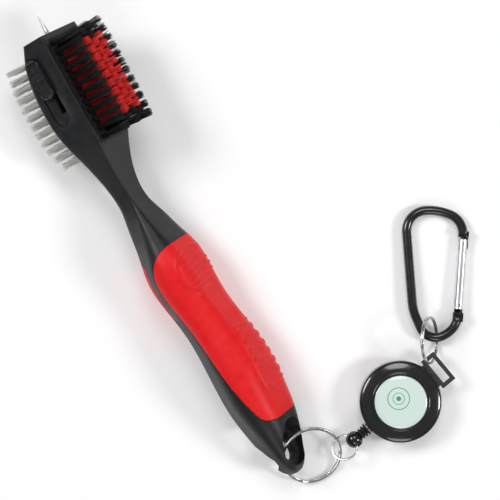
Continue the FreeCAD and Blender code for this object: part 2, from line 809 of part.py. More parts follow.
def cut_cord_port(shell):
    cut_down(shell, f"{shell.Name}_port", "YZ_Plane", f"-sizes.reel_radius - {CLEAR}",
             f"{CLEAR} + sizes.reel_wall + 1", draw_cord_port, reverse=True)


def reel_back_shell():
    shell = turned(
        "reel_back_shell",
        [
            ("0", "0"),
            ("sizes.reel_radius - sizes.reel_bevel", "0"),
            ("sizes.reel_radius", "sizes.reel_bevel"),
            ("sizes.reel_radius", "sizes.reel_parting"),
            (REEL_INNER, "sizes.reel_parting"),
            (REEL_INNER, "sizes.reel_plate"),
            ("sizes.post_radius", "sizes.reel_plate"),
            ("sizes.post_radius", f"{CEILING} - 0.2"),
            ("0", f"{CEILING} - 0.2"),
        ])
    cut_cord_port(shell)
    return shell


def draw_strap_slot(sketch):
    """The slot in the rim for the strap loop's foot, seen along X."""
    width = span("0", "(sizes.loop_length / 2 - sizes.loop_bar)")
    low, high = span("sizes.loop_height", "sizes.loop_thickness / 2")
    draw_outline(sketch, rectangle(*width, low, high))


def reel_front_shell():
    face = "sizes.label_radius + sizes.label_border"
    shell = turned(
        "reel_front_shell",
        [
            ("0", CEILING),
            (REEL_INNER, CEILING),
            (REEL_INNER, "sizes.reel_parting"),
            ("sizes.reel_radius", "sizes.reel_parting"),
            ("sizes.reel_radius", "sizes.reel_height - sizes.face_bevel"),
            (f"{face} + sizes.bezel_width", "sizes.reel_height"),
            (face, "sizes.reel_height"),
            (face, FACE_FLOOR),
            ("0", FACE_FLOOR),
        ])
    cut_cord_port(shell)
    cut_down(shell, "strap_slot", "YZ_Plane", f"sizes.reel_radius + {CLEAR}",
             f"{CLEAR} + sizes.reel_wall + 1", draw_strap_slot)
    return shell


def reel_spool():
    """Two flanges on a hollow hub: the cord winds outside it, the spring sits inside."""
    return turned(
        "reel_spool",
        [
            (SPOOL_BORE, SPOOL_LOW),
            (SPOOL_EDGE, SPOOL_LOW),
            (SPOOL_EDGE, f"{SPOOL_LOW} + sizes.spool_flange"),
            ("sizes.spool_hub_radius", f"{SPOOL_LOW} + sizes.spool_flange"),
            ("sizes.spool_hub_radius", f"{SPOOL_HIGH} - sizes.spool_flange"),
            (SPOOL_EDGE, f"{SPOOL_HIGH} - sizes.spool_flange"),
            (SPOOL_EDGE, SPOOL_HIGH),
            (HUB_INNER, SPOOL_HIGH),
            (HUB_INNER, f"{SPOOL_LOW} + sizes.spool_flange"),
            (SPOOL_BORE, f"{SPOOL_LOW} + sizes.spool_flange"),
        ])


def reel_cord_winding():
    """The wound cord as one closed ring between the flanges."""
    return turned("reel_cord_winding", ring_profile(
        "sizes.spool_hub_radius", "sizes.winding_radius",
        f"{SPOOL_LOW} + sizes.spool_flange", f"{SPOOL_HIGH} - sizes.spool_flange"))


def reel_spring():
    """A flat strip wound in a spiral between the post and the hub, as a closed solid."""
    inner = size("post_radius") + 0.5
    outer = size("spool_hub_radius") - size("spool_flange") - 0.3
    strip = size("spring_strip")
    turns = size("spring_turns")
    low = size("reel_plate") + size("spool_clearance") + size("spool_flange") + 0.3
    height = size("spring_height")
    steps = int(turns * 16)
    angles = [2 * math.pi * turns * i / steps for i in range(steps + 1)]
    growth = (outer - inner - strip) / angles[-1]

    def spiral(offset):
        return [
            Vector((inner + offset + growth * a) * math.cos(a),
                   (inner + offset + growth * a) * math.sin(a), low)
            for a in angles
        ]

    near, far = spiral(0.0), spiral(strip)
    inside, outside = Part.BSplineCurve(), Part.BSplineCurve()
    inside.interpolate(near)
    outside.interpolate(far)
    wire = Part.Wire([
        inside.toShape(), Part.makeLine(near[-1], far[-1]),
        outside.toShape(), Part.makeLine(far[0], near[0])])
    spring = doc.addObject("Part::Feature", "reel_spring")
    spring.Shape = Part.Face(wire).extrude(Vector(0, 0, height))
    return spring


def label_disc():
    return turned("label_disc", rectangle(
        "0", "sizes.label_radius", FACE_FLOOR, "sizes.reel_height"))


def strap_loop():
    """The rectangular strap loop, with a foot held in the front shell's rim."""
    loop = new_body("strap_loop")
    plane = "sizes.loop_height - sizes.loop_thickness / 2"
    frame = new_sketch(loop, "loop_frame", "XY_Plane", plane)
    inner_edge = "(sizes.reel_radius + sizes.loop_gap)"
    outer_edge = f"({inner_edge} + sizes.loop_depth)"
    low, high = span("0", "sizes.loop_length / 2")
    bar = "sizes.loop_bar"
    draw_rounded(frame, inner_edge, outer_edge, low, high, "sizes.loop_corner")
    draw_outline(frame, rectangle(
        f"{inner_edge} + {bar}", f"{outer_edge} - {bar}", f"{low} + {bar}",
        f"{high} - {bar}"), tag="slot")
    pad(loop, frame, "sizes.loop_thickness")
    foot = new_sketch(loop, "loop_foot", "XY_Plane", plane)
    low, high = span("0", f"(sizes.loop_length / 2 - {bar})")
    draw_outline(foot, rectangle(
        f"{REEL_INNER} + 0.1", f"{inner_edge} + {bar} / 2", low, high), tag="foot")
    pad(loop, foot, "sizes.loop_thickness")
    return loop


def along_cord(name, radius, start, length, bore=None):
    """A round piece on the cord's line, which runs along X at the cord's height."""
    body = new_body(name)
    sketch = new_sketch(body, f"{name}_end", "YZ_Plane", start)
    draw_circle(sketch, ("0", "sizes.cord_height"), radius, "outside")
    if bore:
        draw_circle(sketch, ("0", "sizes.cord_height"), bore, "bore")
    pad(body, sketch, length)
    return body


CORD_BORE = "(sizes.cord_radius + sizes.cord_gap)"
BUSH_FACE = "(sizes.reel_radius + sizes.bush_flange)"
RELIEF_START = f"({BUSH_FACE} + sizes.relief_gap)"
BALL_CENTRE = f"({RELIEF_START} + sizes.relief_length + sizes.ball_radius - 0.6)"


def cord_exit_bush():
    """A flanged bush in the rim: the flange stands outside, the barrel goes through."""
    bush = along_cord("cord_exit_bush", "sizes.bush_radius", f"-{BUSH_FACE}",
                      "sizes.bush_flange", CORD_BORE)
    barrel = new_sketch(bush, "bush_barrel", "YZ_Plane", "-sizes.reel_radius")
    draw_circle(barrel, ("0", "sizes.cord_height"), "sizes.port_radius", "outside")
    draw_circle(barrel, ("0", "sizes.cord_height"), CORD_BORE, "bore")
    pad(bush, barrel, "sizes.reel_wall")
    return bush


def strain_relief():
    """A ribbed sleeve on the cord's end: three flanges on a core, hollow for the cord."""
    relief = along_cord("strain_relief", "sizes.relief_core", f"-{BALL_CENTRE} + 2",
                        f"{BALL_CENTRE} - 2 - {RELIEF_START}", CORD_BORE)
    for i in range(3):
        start = f"-{RELIEF_START} - {i} * sizes.relief_pitch - sizes.relief_rib"
        flange = new_sketch(relief, f"relief_flange{i}", "YZ_Plane", start)
        radius = f"sizes.relief_flange - {i} * 0.15"
        draw_circle(flange, ("0", "sizes.cord_height"), radius, "outside")
        draw_circle(flange, ("0", "sizes.cord_height"), CORD_BORE, "bore")
        pad(relief, flange, "sizes.relief_rib")
    ball = doc.addObject("Part::Sphere", "relief_seat")
    place_ball(ball)
    return boolean("Cut", "strain_relief", relief, ball)


def place_ball(ball):
    ball.setExpression("Radius", "sizes.ball_radius")
    ball.setExpression(".Placement.Base.x", f"-{BALL_CENTRE}")
    ball.setExpression(".Placement.Base.z", "sizes.cord_height")


def ball_end():
    """The ball on the cord's end, with a flared bore that a ring can swing in."""
    ball = doc.addObject("Part::Sphere", "ball_sphere")
    place_ball(ball)
    flares = []
    for i, lean in enumerate((0, 180)):
        flare = doc.addObject("Part::Cone", f"ball_flare{i}")
        flare.setExpression("Radius1", "sizes.small_wire + sizes.bore_gap")
        flare.setExpression("Radius2", "sizes.ball_bore_radius")
        flare.setExpression("Height", "sizes.ball_radius + 0.2")
        flare.Placement = Placement(
            Vector(-float(ball.evalExpression(BALL_CENTRE)), 0, size("cord_height")),
            Rotation(Vector(1, 0, 0), 90 - size("link_lean") - lean))
        flares.append(flare)
    half_bored = boolean("Cut", "ball_half_bored", ball, flares[0])
    return boolean("Cut", "ball_end", half_bored, flares[1])


# ---------------------------------------------------------------- rings

def wire_ring(name, radius, wire):
    """A ring of round section, lying in its own XY plane."""
    ring = doc.addObject("Part::Torus", name)
    ring.setExpression("Radius1", radius)
    ring.setExpression("Radius2", wire)
    return ring


def clip_ring():
    """A split ring of flat wire: a rounded band turned about Z."""
    ring = new_body("clip_ring")
    sketch = new_sketch(ring, "clip_band", "XZ_Plane")
    low, high = span("0", "sizes.clip_wire / 2")
    inner, outer = span("sizes.clip_ring_radius", "sizes.clip_band / 2")
    draw_rounded(sketch, inner, outer, low, high, "sizes.clip_rounding")
    revolve(ring, sketch)
    return ring


# ---------------------------------------------------------------- carabiner

# Its own frame: the gate's hinge pin is the origin, +Y runs along the gate to the nose,
# +X points out of the frame, and +Z is the pin's direction.
GATE_END = "(sizes.gate_length - sizes.gate_foot)"
NOSE_FACE = f"({GATE_END} + sizes.gate_gap)"
LATCH_AT = f"({GATE_END} - sizes.latch_from_end)"
TONGUE_HALF = "(sizes.gate_slot / 2 - sizes.tongue_gap)"


def draw_path(sketch, corners, radii):
    """An open run of straight lines, with an arc at each corner between them."""
    spots = [
        Vector(*(float(sketch.evalExpression(e)) for e in corner), 0)
        for corner in corners
    ]
    for i in range(len(spots) - 1):
        sketch.addGeometry(Part.LineSegment(spots[i], spots[i + 1]))
        if i:
            sketch.addConstraint(Sketcher.Constraint("Coincident", i - 1, 2, i, 1))
        pin_point(sketch, i, 1, f"corner{i}", corners[i])
    pin_point(sketch, len(spots) - 2, 2, "far_end", corners[-1])
    for i, radius in enumerate(radii, start=1):
        value = float(sketch.evalExpression(radius))
        arc = sketch.GeometryCount
        sketch.fillet(i, 1, value, True, True)
        index = sketch.addConstraint(Sketcher.Constraint("Radius", arc, value))
        bind(sketch, index, f"corner{i}_radius", radius)


def box_pad(body, name, left, right, low, high, half):
    """A rectangular pad, centred on the carabiner's plane."""
    sketch = new_sketch(body, name, "XY_Plane")
    draw_outline(sketch, rectangle(left, right, low, high))
    pad(body, sketch, f"2 * {half}", middle=True)


def carabiner_body():
    """A bent wire with a hinge block and tongue at one end and a hooked nose at the other."""
    body = new_body("carabiner_body")
    path = new_sketch(body, "carabiner_path", "XY_Plane")
    draw_path(
        path,
        [
            ("0", "-sizes.hinge_face - 0.5"),
            ("0", "sizes.toe_y"),
            ("sizes.heel_x", "sizes.heel_y"),
            ("sizes.back_x", "sizes.back_y"),
            ("sizes.far_x", f"{NOSE_FACE} + sizes.far_rise"),
            ("sizes.crown_x", f"{NOSE_FACE} + sizes.crown_rise"),
            ("sizes.brow_x", f"{NOSE_FACE} + sizes.brow_rise"),
            ("0", f"{NOSE_FACE} + 0.5"),
        ],
        ["sizes.toe_radius", "sizes.heel_radius", "sizes.sweep_radius",
         "sizes.crown_radius", "sizes.sweep_radius", "sizes.crown_radius"])
    section = new_sketch(body, "carabiner_section", "XZ_Plane", "sizes.hinge_face + 0.5")
    draw_circle(section, ("0", "0"), "sizes.wire_radius")
    doc.recompute()
    pipe = body.newObject("PartDesign::AdditivePipe", "carabiner_wire")
    pipe.Profile = section
    pipe.Spine = path
    doc.recompute()
    half = "sizes.block_half_width"
    box_pad(body, "hinge_block", f"-{half}", half,
            "-sizes.hinge_face - sizes.hinge_block", "-sizes.hinge_face",
            "sizes.wire_radius")
    box_pad(body, "nose_block", f"-{half}", half, NOSE_FACE,
            f"{NOSE_FACE} + sizes.nose_block", "sizes.wire_radius")
    tongue = new_sketch(body, "hinge_tongue", "XY_Plane")
    reach = "(sizes.gate_radius - 0.2)"
    draw_outline(
        tongue, rectangle(f"-{reach}", reach, "-sizes.hinge_face - 0.5", reach),
        [None, None, f"{reach} - 0.1", f"{reach} - 0.1"])
    pad(body, tongue, f"2 * {TONGUE_HALF}", middle=True)
    hook = new_sketch(body, "nose_hook", "XY_Plane")
    inside = "(sizes.latch_radius + sizes.latch_gap)"
    outside = f"({inside} + sizes.hook_wall)"
    draw_outline(hook, [
        (f"-{inside}", f"{NOSE_FACE} + 0.5"),
        (outside, f"{NOSE_FACE} + 0.5"),
        (outside, f"{LATCH_AT} - {outside}"),
        (f"-{inside}", f"{LATCH_AT} - {outside}"),
        (f"-{inside}", f"{LATCH_AT} - {inside}"),
        (inside, f"{LATCH_AT} - {inside}"),
        (inside, f"{LATCH_AT} + {inside}"),
        (f"-{inside}", f"{LATCH_AT} + {inside}"),
    ])
    pad(body, hook, f"2 * {TONGUE_HALF}", middle=True)
    bore = new_sketch(body, "hinge_hole", "XY_Plane")
    draw_circle(bore, ("0", "0"), "sizes.pin_radius")
    extrude(body, "PartDesign::Pocket", bore, "4 * sizes.wire_radius", middle=True)
    return body


def carabiner_gate():
    """A tube with a slot across each end: one for the tongue, one for the nose hook."""
    gate = new_body("carabiner_gate")
    tube = new_sketch(gate, "gate_tube", "XZ_Plane", f"-{GATE_END}")
    draw_circle(tube, ("0", "0"), "sizes.gate_radius", "outside")
    draw_circle(tube, ("0", "0"), "sizes.gate_bore_radius", "bore")
    pad(gate, tube, "sizes.gate_length")
    half = "(sizes.gate_slot / 2)"
    wide = "(sizes.gate_radius + 1)"
    for name, rear, front in (
        ("foot_slot", "-sizes.gate_foot - 1", "sizes.gate_slot_length - sizes.gate_foot"),
        ("nose_slot", f"{GATE_END} - sizes.gate_slot_length", f"{GATE_END} + 1"),
    ):
        slot = new_sketch(gate, name, "YZ_Plane")
        draw_outline(slot, rectangle(rear, front, f"-{half}", half))
        extrude(gate, "PartDesign::Pocket", slot, f"2 * {wide}", middle=True)
    holes = new_sketch(gate, "gate_pin_holes", "XY_Plane")
    draw_circle(holes, ("0", "0"), "sizes.pin_radius + sizes.pin_gap", "hinge")
    draw_circle(holes, ("0", LATCH_AT), "sizes.latch_radius", "latch")
    extrude(gate, "PartDesign::Pocket", holes, f"2 * {wide}", middle=True)
    return gate


def cross_pin(name, along, radius):
    """A pin through the gate, from one side of the tube to the other."""
    pin = new_body(name)
    sketch = new_sketch(pin, f"{name}_end", "XY_Plane")
    draw_circle(sketch, ("0", along), radius)
    pad(pin, sketch, "2 * sizes.gate_radius", middle=True)
    return pin


def gate_spring():
    """The closing spring inside the gate, as a plain sleeve of its outer size."""
    spring = new_body("gate_spring")
    sketch = new_sketch(spring, "gate_spring_end", "XZ_Plane", "-sizes.spring_from_pin")
    draw_circle(sketch, ("0", "0"), "sizes.gate_bore_radius - 0.15", "outside")
    draw_circle(sketch, ("0", "0"), "sizes.gate_bore_radius - 0.55", "inside")
    pad(spring, sketch, "sizes.gate_spring_length", reverse=True)
    return spring


# ---------------------------------------------------------------- the pieces

BRUSH_NODES = {
    "handle_frame": handle_frame,
    "grip_top": grip_top,
    "grip_bottom": grip_bottom,
    "nylon_block": nylon_block(),
    "nylon_tufts_black": nylon_tufts("nylon_tufts_black", BLACK_RUNS),
    "nylon_tufts_red": nylon_tufts("nylon_tufts_red", RED_RUNS),
    "nylon_tuft_anchors": anchors(
        "nylon_tuft_anchors", BLACK_RUNS + RED_RUNS, NYLON_MIDDLE, "nylon", NYLON_ROOT),
    "steel_block": steel_block(),
    "steel_tufts": steel_tufts("steel_tufts", STEEL_INNER_ROWS),
    "steel_tufts_floor_row": steel_tufts("steel_tufts_floor_row", [STEEL_FLOOR_ROW]),
    "steel_tuft_anchors": anchors(
        "steel_tuft_anchors", STEEL_RUNS, STEEL_MIDDLE, "steel", f"-{STEEL_ROOT}",
        reverse=True),
    "slider_button": slider_button(),
    "spike_carrier": spike_carrier(),
    "groove_spike": groove_spike(),
}
REEL_NODES = {
    "reel_back_shell": reel_back_shell(),
    "reel_front_shell": reel_front_shell(),
    "reel_spool": reel_spool(),
    "reel_cord_winding": reel_cord_winding(),
    "reel_spring": reel_spring(),
    "label_disc": label_disc(),
    "strap_loop": strap_loop(),
    "cord_exit_bush": cord_exit_bush(),
    "strain_relief": strain_relief(),
    "ball_end": ball_end(),
    "pull_cord": along_cord(
        "pull_cord", "sizes.cord_radius", f"-{BALL_CENTRE} + sizes.ball_radius",
        f"{BALL_CENTRE} - sizes.ball_radius - {REEL_INNER}"),
}
CARABINER_NODES = {
    "carabiner_body": carabiner_body(),
    "carabiner_gate": carabiner_gate(),
    "gate_pin": cross_pin("gate_pin", "0", "sizes.pin_radius"),
    "gate_latch_pin": cross_pin("gate_latch_pin", LATCH_AT, "sizes.latch_radius"),
    "gate_spring": gate_spring(),
}
key_ring_large = wire_ring(
    "key_ring_large", "sizes.large_ring_radius", "sizes.large_wire")
key_ring_small = wire_ring(
    "key_ring_small", "sizes.small_ring_radius", "sizes.small_wire")
clip_ring_body = clip_ring()

doc.recompute()


# ---------------------------------------------------------------- how it all lies

X_AXIS, Y_AXIS, Z_AXIS = Vector(1, 0, 0), Vector(0, 1, 0), Vector(0, 0, 1)


def value_of(expression):
    return float(sheet.evalExpression(expression.replace("sizes.", "")))


def place(nodes, placement):
    """Moves a group of pieces together, from their own frame to where they lie."""
    for node in nodes:
        node.Placement = placement.multiply(node.Placement)


def lowest(nodes):
    return min(node.Shape.optimalBoundingBox(False, False).ZMin for node in nodes)


brush_nodes = list(BRUSH_NODES.values())
brush_turn = Rotation(X_AXIS, size("lie_pitch")) * Rotation(Y_AXIS, -size("lie_roll"))
place(brush_nodes, Placement(Vector(), brush_turn))
brush_lift = Placement(Vector(0, 0, -lowest(brush_nodes)), Rotation())
place(brush_nodes, brush_lift)
hole_middle = brush_lift.multiply(Placement(Vector(), brush_turn)).multVec(Vector(
    value_of("(sizes.web_top + sizes.web_bottom) / 2"), value_of(DISH_MIDDLE), 0))

ring_lean = math.radians(size("ring_lean"))
ring_height = size("large_ring_radius") * math.sin(ring_lean) + size("large_wire")
large_centre = Vector(
    hole_middle.x + size("ring_offset_x"), hole_middle.y - size("ring_offset_y"),
    ring_height)
place([key_ring_large], Placement(large_centre, Rotation(X_AXIS, size("ring_lean"))))

reel_turn = Rotation(Z_AXIS, size("reel_turn"))
small_centre = Vector(
    large_centre.x + size("link_offset_x"), large_centre.y - size("link_offset_y"),
    size("cord_height"))
place([key_ring_small], Placement(
    small_centre, reel_turn * Rotation(X_AXIS, -size("link_lean"))))

ball_reach = size("small_ring_radius") + value_of(BALL_CENTRE)
reel_centre = small_centre + reel_turn.multVec(Vector(ball_reach, 0, 0))
reel_centre.z = 0
reel_place = Placement(reel_centre, reel_turn)
place(REEL_NODES.values(), reel_place)

clip_lean = math.radians(size("clip_lean"))
clip_rise = size("clip_ring_radius") * math.cos(clip_lean)
clip_height = (
    (size("clip_ring_radius") + size("clip_band") / 2) * math.cos(clip_lean)
    + size("clip_wire") / 2 * math.sin(clip_lean))
heading = math.radians(size("clip_heading"))
clip_out = Vector(math.cos(heading), math.sin(heading), 0)
clip_side = Vector(math.sin(heading), -math.cos(heading), 0)
clip_up = Z_AXIS * math.cos(clip_lean) - clip_side * math.sin(clip_lean)
clip_normal = Z_AXIS * math.sin(clip_lean) + clip_side * math.cos(clip_lean)
slot_middle = value_of("sizes.reel_radius + sizes.loop_gap + sizes.loop_depth / 2")
slot_end = value_of("sizes.loop_length / 2 - sizes.loop_bar - sizes.clip_from_slot_end")
slot_spot = reel_place.multVec(Vector(slot_middle, slot_end, size("loop_height")))
sink = math.asin((clip_height - size("loop_height")) / clip_rise)
clip_centre = (
    slot_spot + clip_out * (size("clip_ring_radius") * math.cos(sink))
    + clip_up * (size("clip_ring_radius") * math.sin(sink)))
place([clip_ring_body], Placement(
    clip_centre, Rotation(clip_out, clip_up, clip_normal, "ZXY")))

heel_turn = math.atan2(
    size("toe_y") - size("heel_y"), -size("heel_x")), math.atan2(
    size("back_y") - size("heel_y"), size("back_x") - size("heel_x"))
heel_half = (heel_turn[1] - heel_turn[0]) / 2
heel_middle = heel_turn[0] + heel_half
heel_arm = size("heel_radius") / math.sin(heel_half)
heel_low = Vector(
    size("heel_x") + heel_arm * math.cos(heel_middle),
    size("heel_y") + heel_arm * math.sin(heel_middle) - size("heel_radius"), 0)
bar_reach = (
    size("clip_ring_radius") - size("clip_band") / 2 - size("wire_radius")
    - size("clip_bar_gap"))
bar_drop = math.sqrt(bar_reach ** 2 - size("clip_bar_shift") ** 2)
bar_spot = clip_centre + clip_out * size("clip_bar_shift") - clip_up * bar_drop
carabiner_span = value_of(f"{NOSE_FACE} + sizes.crown_rise") - heel_low.y
tilt = math.degrees(math.asin((bar_spot.z - size("wire_radius")) / carabiner_span))
carabiner_turn = (
    Rotation(Z_AXIS, -size("carabiner_turn")) * Rotation(X_AXIS, -tilt))
carabiner_place = Placement(
    bar_spot - carabiner_turn.multVec(heel_low), carabiner_turn)
place(CARABINER_NODES.values(), carabiner_place)

NODES = {
    **BRUSH_NODES,
    "key_ring_large": key_ring_large,
    "key_ring_small": key_ring_small,
    **REEL_NODES,
    "clip_ring": clip_ring_body,
    **CARABINER_NODES,
}

doc.recompute()

box = FreeCAD.BoundBox()
for node in NODES.values():
    box.add(node.Shape.optimalBoundingBox(False, False))
to_origin = Placement(Vector(-box.Center.x, -box.Center.y, -box.ZMin), Rotation())
place(NODES.values(), to_origin)
doc.recompute()

for item in doc.Objects:
    if {"Invalid", "Error"} & set(item.State):
        raise RuntimeError(f"{item.Name} failed: {item.State}")
for name, node in NODES.items():
    node.Label = name
    if node.Shape.isNull() or not node.Shape.isValid():
        raise RuntimeError(f"{name} has no valid shape")

os.makedirs("parts", exist_ok=True)
for name, node in NODES.items():
    node.Shape.exportStep(f"parts/{name}.step")
    print(f"{name}: {len(node.Shape.Solids)} solids, {node.Shape.Volume:.1f} mm3")
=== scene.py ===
import json
import math
import bmesh
import bpy
import numpy as np
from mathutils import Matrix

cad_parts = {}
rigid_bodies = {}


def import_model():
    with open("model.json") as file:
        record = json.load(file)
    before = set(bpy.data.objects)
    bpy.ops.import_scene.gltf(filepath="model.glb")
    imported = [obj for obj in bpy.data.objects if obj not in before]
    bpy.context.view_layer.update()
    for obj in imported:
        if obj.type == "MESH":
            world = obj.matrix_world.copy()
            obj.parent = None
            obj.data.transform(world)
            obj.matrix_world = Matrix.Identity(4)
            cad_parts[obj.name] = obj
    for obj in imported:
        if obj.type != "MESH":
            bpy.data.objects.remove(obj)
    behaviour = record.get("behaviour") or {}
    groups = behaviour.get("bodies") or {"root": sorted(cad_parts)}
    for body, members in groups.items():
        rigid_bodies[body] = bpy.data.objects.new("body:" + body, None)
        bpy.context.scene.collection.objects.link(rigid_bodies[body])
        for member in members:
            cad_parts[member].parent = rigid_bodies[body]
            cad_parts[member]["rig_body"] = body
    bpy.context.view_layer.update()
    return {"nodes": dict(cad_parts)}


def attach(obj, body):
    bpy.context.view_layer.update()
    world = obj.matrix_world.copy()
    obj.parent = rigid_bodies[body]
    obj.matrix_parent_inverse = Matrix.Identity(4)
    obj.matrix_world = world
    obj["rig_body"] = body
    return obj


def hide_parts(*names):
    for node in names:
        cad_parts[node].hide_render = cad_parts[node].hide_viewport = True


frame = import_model()
nodes = frame["nodes"]
mm = 0.001
rng = np.random.default_rng(7)

layout = {  # every position comes from the frame, only directions are given here
    "brushRoll": 35.0,       # degrees that the brush is rolled on to its flank
    "brushPitch": 3.86,      # degrees that the head is propped up
    "reelTurn": 10.9,        # degrees from +X to the strap side of the reel
    "headTop": 8.8,          # mm, height of the nylon side in the brush's own frame
}


def turnAbout(axis, degrees):
    c, s = math.cos(math.radians(degrees)), math.sin(math.radians(degrees))
    if axis == "X":
        return np.array([[1, 0, 0], [0, c, -s], [0, s, c]])
    if axis == "Y":
        return np.array([[c, 0, s], [0, 1, 0], [-s, 0, c]])
    return np.array([[c, -s, 0], [s, c, 0], [0, 0, 1]])


def pointsOf(node):
    flat = np.zeros(len(nodes[node].data.vertices) * 3)
    nodes[node].data.vertices.foreach_get("co", flat)
    return flat.reshape(-1, 3)


def middleOf(node):
    points = pointsOf(node)
    return (points.min(0) + points.max(0)) / 2


def planeNormal(node):  # the direction in which a ring's points spread least
    points = pointsOf(node)
    normal = np.linalg.svd(points - points.mean(0), full_matrices=False)[2][2]
    return normal if normal[2] > 0 else -normal


brushAxes = turnAbout("X", layout["brushPitch"]) @ turnAbout("Y", -layout["brushRoll"])
blockLocal = pointsOf("nylon_block") @ brushAxes
brushOrigin = brushAxes @ np.array([
    blockLocal[:, 0].max() - layout["headTop"] * mm,
    (pointsOf("handle_frame") @ brushAxes)[:, 1].min(),
    (blockLocal[:, 2].max() + blockLocal[:, 2].min()) / 2])
reelAxes = turnAbout("Z", layout["reelTurn"])
reelOrigin = middleOf("reel_back_shell") * [1, 1, 0]


def toBrush(points):  # row metres to the brush's own millimetres
    return (points - brushOrigin) @ brushAxes / mm


def fromBrush(points):
    return points * mm @ brushAxes.T + brushOrigin


def fromReel(points):
    return points * mm @ reelAxes.T + reelOrigin


cameraSet = {
    "aim": (-0.01375, -0.01085), "height": 0.917, "lens": 168.0, "turn": -28.92,
}
camera = bpy.data.objects.new("camera", bpy.data.cameras.new("camera"))
camera.data.lens = cameraSet["lens"]
camera.data.clip_start = 0.05
camera.location = (*cameraSet["aim"], cameraSet["height"])
camera.rotation_euler = (0, 0, math.radians(cameraSet["turn"]))
bpy.context.scene.collection.objects.link(camera)
bpy.context.scene.camera = camera

lightSet = {
    # name: place in metres seen from the camera's own turn, size, watts
    "softLeft": ((-0.85, 0.35, 0.95), 0.5, 7.0),
    "softRight": ((0.95, -0.15, 0.75), 0.28, 5.0),
    "softTop": ((0.05, 0.75, 1.25), 0.6, 4.5),
    "softNear": ((0.1, -0.95, 0.8), 0.5, 2.0),
}
aim = np.array([*cameraSet["aim"], 0.0])
for lightName, (place, width, watts) in lightSet.items():
    lamp = bpy.data.lights.new(lightName, "AREA")
    lamp.shape = "DISK"
    lamp.size = width
    lamp.energy = watts
    light = bpy.data.objects.new(lightName, lamp)
    spot = turnAbout("Z", cameraSet["turn"]) @ np.array(place) + aim
    light.location = spot
    away = spot - aim
    light.rotation_euler = (
        math.acos(away[2] / np.linalg.norm(away)), 0,
        math.atan2(away[1], away[0]) + math.pi / 2)
    bpy.context.scene.collection.objects.link(light)

world = bpy.data.worlds.new("studio")
world.use_nodes = True
skyTree = world.node_tree
skyPlace = skyTree.nodes.new("ShaderNodeTexCoord")
skySplit = skyTree.nodes.new("ShaderNodeSeparateXYZ")
skyRamp = skyTree.nodes.new("ShaderNodeValToRGB")  # dark low down, pale overhead
skyRamp.color_ramp.elements[0].position = 0.05
skyRamp.color_ramp.elements[0].color = (0.10, 0.10, 0.11, 1)
skyRamp.color_ramp.elements[1].position = 0.8
skyRamp.color_ramp.elements[1].color = (0.62, 0.63, 0.65, 1)
skyTree.links.new(skyPlace.outputs["Generated"], skySplit.inputs["Vector"])
skyTree.links.new(skySplit.outputs["Z"], skyRamp.inputs["Fac"])
skyTree.links.new(skyRamp.outputs["Color"], skyTree.nodes["Background"].inputs["Color"])
skyTree.nodes["Background"].inputs["Strength"].default_value = 0.45
bpy.context.scene.world = world
bpy.context.scene.view_settings.view_transform = "Standard"
print("camera and lights ready")


def newMaterial(name):
    material = bpy.data.materials.new(name)
    material.use_nodes = True
    return material, material.node_tree, material.node_tree.nodes["Principled BSDF"]


def objectPlace(tree, stretch):
    place = tree.nodes.new("ShaderNodeTexCoord")
    mapping = tree.nodes.new("ShaderNodeMapping")
    mapping.inputs["Scale"].default_value = stretch
    tree.links.new(place.outputs["Object"], mapping.inputs["Vector"])
    return mapping.outputs["Vector"]


def noiseOf(tree, vector, scale, detail=3.0):
    noise = tree.nodes.new("ShaderNodeTexNoise")
    noise.inputs["Scale"].default_value = scale
    noise.inputs["Detail"].default_value = detail
    tree.links.new(vector, noise.inputs["Vector"])
    return noise.outputs["Fac"]


def spread(tree, value, low, high, fromLow=0.3, fromHigh=0.7):
    ranged = tree.nodes.new("ShaderNodeMapRange")
    for socket, number in (("From Min", fromLow), ("From Max", fromHigh),
                           ("To Min", low), ("To Max", high)):
        ranged.inputs[socket].default_value = number
    tree.links.new(value, ranged.inputs["Value"])
    return ranged.outputs["Result"]


def blendColours(tree, value, first, second):
    ramp = tree.nodes.new("ShaderNodeValToRGB")
    ramp.color_ramp.elements[0].position = 0.35
    ramp.color_ramp.elements[1].position = 0.65
    ramp.color_ramp.elements[0].color = (*first, 1)
    ramp.color_ramp.elements[1].color = (*second, 1)
    tree.links.new(value, ramp.inputs["Fac"])
    return ramp.outputs["Color"]


def addBump(tree, shader, height, distance):
    bump = tree.nodes.new("ShaderNodeBump")
    bump.inputs["Distance"].default_value = distance
    tree.links.new(height, bump.inputs["Height"])
    tree.links.new(bump.outputs["Normal"], shader.inputs["Normal"])


def finishOf(name, color, other, rough, grain, bump=0.00002, metallic=0.0, coat=0.0,
             coatRough=0.05, sheen=0.0, stretch=(1, 1, 1), specular=0.5, bumpScale=2500.0):
    # colour clouds, uneven gloss and a fine grain, all worked out from the object's own place
    material, tree, shader = newMaterial(name)
    place = objectPlace(tree, stretch)
    cloud = noiseOf(tree, place, grain)
    tree.links.new(blendColours(tree, cloud, color, other), shader.inputs["Base Color"])
    tree.links.new(spread(tree, noiseOf(tree, place, grain * 0.5), *rough),
                   shader.inputs["Roughness"])
    shader.inputs["Metallic"].default_value = metallic
    shader.inputs["Specular IOR Level"].default_value = specular
    shader.inputs["Coat Weight"].default_value = coat
    shader.inputs["Coat Roughness"].default_value = coatRough
    shader.inputs["Sheen Weight"].default_value = sheen
    if bump:
        addBump(tree, shader, noiseOf(tree, place, bumpScale, 4.0), bump)
    return material


